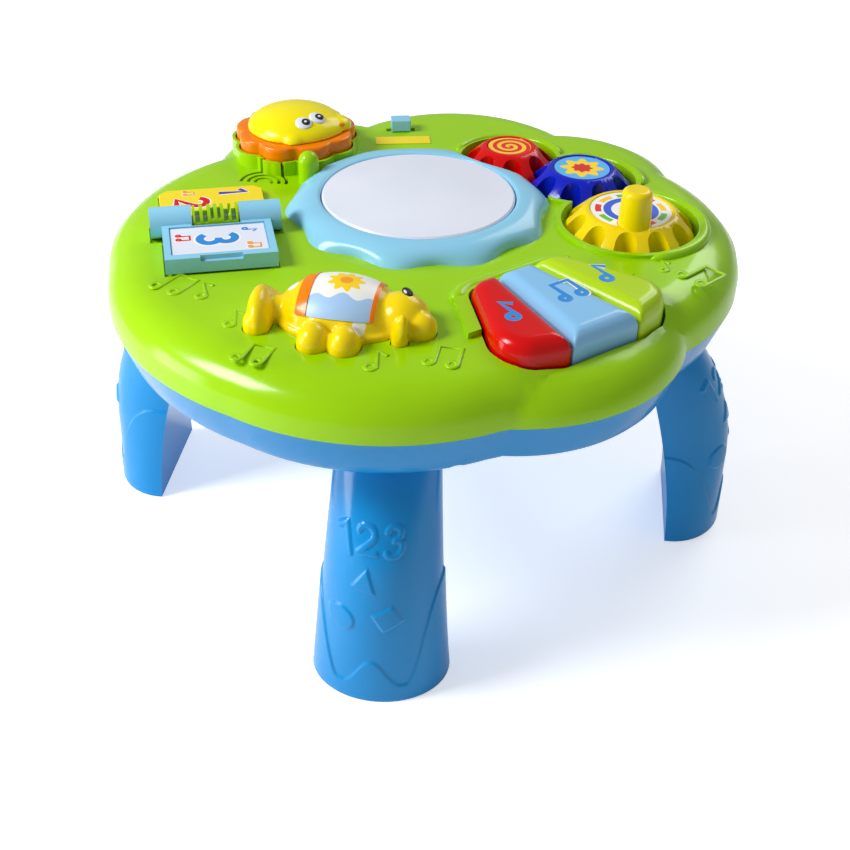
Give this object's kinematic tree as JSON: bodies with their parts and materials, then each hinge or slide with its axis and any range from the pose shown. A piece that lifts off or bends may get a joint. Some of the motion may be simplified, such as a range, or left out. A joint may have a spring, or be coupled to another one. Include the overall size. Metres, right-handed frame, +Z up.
{
  "type": "musical activity table",
  "caption": "Low four-legged toddler activity table with a drum pad, meshing gears, tipping piano keys, a turning page, press buttons and a slide switch.",
  "frame": {"origin": "on the floor, in the middle between the four feet", "axes": "+Z up; the front leg is towards -Y and the right leg towards +X, with the gears on the +X side"},
  "size_m": [0.3156, 0.3171, 0.183],
  "materials": {
    "green_abs": "glossy lime green",
    "blue_abs": "glossy sky blue",
    "pale_blue_abs": "glossy light blue",
    "white_abs": "satin white",
    "yellow_abs": "glossy yellow",
    "deep_blue_abs": "glossy deep blue",
    "red_abs": "glossy red",
    "key_blue_abs": "glossy light blue",
    "key_green_abs": "glossy yellow green",
    "orange_abs": "glossy orange",
    "yellow_gear_print": "printed label",
    "blue_gear_print": "printed label",
    "red_gear_print": "printed label",
    "page_yellow": "printed card",
    "sticker_print": "printed sticker",
    "picture_print": "printed sticker",
    "eye_print": "printed eye",
    "screw_steel": "zinc plated",
    "magnet_steel": "plated",
    "contact_steel": "nickel plated",
    "paper_cone": "black cone",
    "board_green": "solder mask",
    "silicone": "translucent silicone",
    "lamp_clear": "clear lamp",
    "chip_black": "moulded",
    "cell_jacket": "shrink jacket"
  },
  "bodies": {
    "table": {"top_shell": "green_abs", "base_shell": "blue_abs", "leg_front": "blue_abs", "leg_right": "blue_abs", "leg_back": "blue_abs", "leg_left": "blue_abs", "drum_rim": "pale_blue_abs", "gear_screws": "screw_steel", "key_rod": "screw_steel", "book_page": "page_yellow", "hinge_pin": "screw_steel", "hinge_cover": "green_abs", "switch_label": "page_yellow", "speaker": "paper_cone", "speaker_magnet": "magnet_steel", "main_board": "board_green", "key_board": "board_green", "button_boards": "board_green", "contact_domes": "silicone", "lamps": "lamp_clear", "sound_chip": "chip_black", "battery_door": "blue_abs", "batteries": "cell_jacket", "battery_contacts": "contact_steel", "door_screw": "screw_steel", "case_screws": "screw_steel", "board_screws": "screw_steel"},
    "drum_skin": {"drum_pad": "white_abs"},
    "yellow_gear": {"yellow_gear": "yellow_abs", "yellow_gear_label": "yellow_gear_print"},
    "blue_gear": {"blue_gear": "deep_blue_abs", "blue_gear_label": "blue_gear_print"},
    "red_gear": {"red_gear": "red_abs", "red_gear_label": "red_gear_print"},
    "red_key": {"red_key": "red_abs"},
    "blue_key": {"blue_key": "key_blue_abs"},
    "green_key": {"green_key": "key_green_abs"},
    "book_leaf": {"book_leaf": "pale_blue_abs", "leaf_sticker": "sticker_print"},
    "lion_button": {"lion_mane": "orange_abs", "lion_face": "yellow_abs", "lion_eyes": "eye_print"},
    "fawn_button": {"fawn_button": "yellow_abs", "fawn_picture": "picture_print", "fawn_band": "orange_abs", "fawn_eye": "eye_print"},
    "switch_slider": {"switch_slider": "pale_blue_abs"}
  },
  "joints": [
    {"name": "drum_press", "type": "slide", "parent": "table", "child": "drum_skin", "axis": [0, 0, -1], "range_m": [0, 0.002], "stiffness_N_per_m": 600},
    {"name": "yellow_gear_spin", "type": "hinge", "parent": "table", "child": "yellow_gear", "pos_m": [0.096, 0.001, 0.1524], "axis": [0, 0, 1], "continuous": true},
    {"name": "blue_gear_spin", "type": "hinge", "parent": "table", "child": "blue_gear", "pos_m": [0.073, 0.04426, 0.1524], "axis": [0, 0, 1], "continuous": true},
    {"name": "red_gear_spin", "type": "hinge", "parent": "table", "child": "red_gear", "pos_m": [0.03657, 0.06446, 0.1524], "axis": [0, 0, 1], "continuous": true},
    {"name": "red_key_tip", "type": "hinge", "parent": "table", "child": "red_key", "pos_m": [0.05035, -0.06572, 0.1555], "axis": [0.7431, 0.6691, 0], "range_deg": [0, 3], "stiffness_Nm_per_rad": 1.2},
    {"name": "blue_key_tip", "type": "hinge", "parent": "table", "child": "blue_key", "pos_m": [0.05035, -0.06572, 0.1555], "axis": [0.7431, 0.6691, 0], "range_deg": [0, 3], "stiffness_Nm_per_rad": 1.2},
    {"name": "green_key_tip", "type": "hinge", "parent": "table", "child": "green_key", "pos_m": [0.05035, -0.06572, 0.1555], "axis": [0.7431, 0.6691, 0], "range_deg": [0, 3], "stiffness_Nm_per_rad": 1.2},
    {"name": "leaf_turn", "type": "hinge", "parent": "table", "child": "book_leaf", "pos_m": [-0.089, -0.034, 0.165], "axis": [-0.9511, -0.309, 0], "range_deg": [0, 178]},
    {"name": "lion_press", "type": "slide", "parent": "table", "child": "lion_button", "axis": [0, 0, -1], "range_m": [0, 0.002], "stiffness_N_per_m": 600},
    {"name": "fawn_press", "type": "slide", "parent": "table", "child": "fawn_button", "axis": [0, 0, -1], "range_m": [0, 0.0025], "stiffness_N_per_m": 500},
    {"name": "switch_slide", "type": "slide", "parent": "table", "child": "switch_slider", "axis": [0.9781, 0.2079, 0], "range_m": [-0.004, 0.004]}
  ],
  "couplings": [
    {"joint": "blue_gear_spin", "follows": "yellow_gear_spin", "ratio": -1.2222},
    {"joint": "red_gear_spin", "follows": "yellow_gear_spin", "ratio": 1.375}
  ]
}
